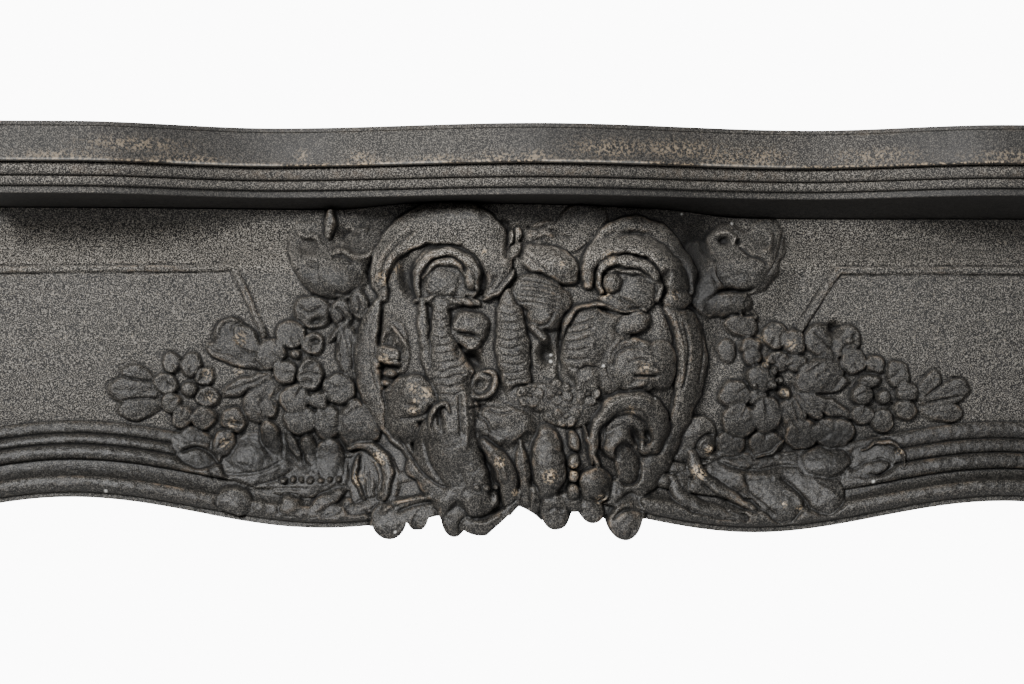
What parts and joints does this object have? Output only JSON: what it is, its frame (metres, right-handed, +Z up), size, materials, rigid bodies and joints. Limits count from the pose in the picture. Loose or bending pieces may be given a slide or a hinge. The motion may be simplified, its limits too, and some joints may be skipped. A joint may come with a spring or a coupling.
{
  "type": "fireplace surround section",
  "caption": "Centre section of a black cast-iron fireplace surround: serpentine moulded shelf edge over a frieze with a rococo cartouche and flower sprays.",
  "frame": {"origin": "middle of the back of the centre rib, on the wall plane, half-way up the frieze panel", "axes": "+Z up, +X along the frieze to the viewer's right, the carved front faces -Y and the wall is behind at y = 0"},
  "size_m": [0.68, 0.13, 0.2537],
  "materials": {
    "frieze_iron": "sand-cast grain, old black paint worn brown on the high points",
    "shelf_iron": "smoother casting, old black paint worn at the arris"
  },
  "bodies": {
    "root": {"frieze": "frieze_iron", "mantel_shelf": "shelf_iron"}
  },
  "joints": []
}
